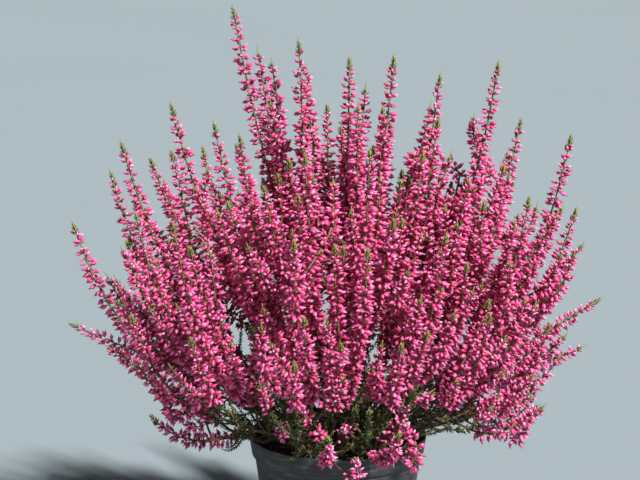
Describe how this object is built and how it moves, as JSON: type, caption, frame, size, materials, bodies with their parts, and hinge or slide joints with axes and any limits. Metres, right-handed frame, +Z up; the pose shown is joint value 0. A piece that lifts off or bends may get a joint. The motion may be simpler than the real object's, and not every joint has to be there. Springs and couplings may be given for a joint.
{
  "type": "potted heather plant",
  "caption": "Bud-flowering heather in a round dark plastic pot: arching and upright pink flower spikes with green tips fan out of the soil, over low leafy shoots.",
  "frame": {"origin": "middle of the pot's flat underside", "axes": "+Z up through the pot's axis; -Y towards the plant's front, the side that the picture shows; +X to the picture's right"},
  "size_m": [0.3561, 0.3025, 0.3925],
  "materials": {
    "pot": "dark grey moulded plastic, scuffed and a little dusty",
    "soil": "crumbly, matt, with bark crumbs",
    "flower": "silky closed buds, crimson at the foot and pale pink at the tip",
    "leaf": "matt scale leaves, yellow-green at the tips of the spikes and dark green low down",
    "stem": "thin woody bark, olive to brown"
  },
  "bodies": {
    "root": {"pot": "pot", "soil": "soil", "spray_01": "flower", "spray_02": "flower", "spray_03": "flower", "spray_04": "flower", "spray_05": "flower", "spray_06": "flower", "spray_07": "flower", "spray_08": "flower", "spray_09": "flower", "spray_10": "flower", "spray_11": "flower", "spray_12": "flower", "spray_13": "flower", "spray_14": "flower", "spray_15": "flower", "spray_16": "flower", "spray_17": "flower", "spray_18": "flower", "spray_19": "flower", "spray_20": "flower", "spray_21": "flower", "spray_22": "flower", "spray_23": "flower", "spray_24": "flower", "spray_25": "flower", "spray_26": "flower", "spray_27": "flower", "spray_28": "flower", "spray_29": "flower", "spray_30": "flower", "spray_31": "flower", "spray_32": "flower", "spray_33": "flower", "spray_34": "flower", "spray_35": "flower", "spray_36": "flower", "spray_37": "flower", "spray_38": "flower", "spray_39": "flower", "spray_40": "flower", "spray_41": "flower", "spray_42": "flower", "spray_43": "flower", "spray_44": "flower", "leafy_shoot_01": "leaf", "leafy_shoot_02": "leaf", "leafy_shoot_03": "leaf", "leafy_shoot_04": "leaf", "leafy_shoot_05": "leaf", "leafy_shoot_06": "leaf", "leafy_shoot_07": "leaf", "leafy_shoot_08": "leaf", "leafy_shoot_09": "leaf", "leafy_shoot_10": "leaf"}
  },
  "joints": []
}
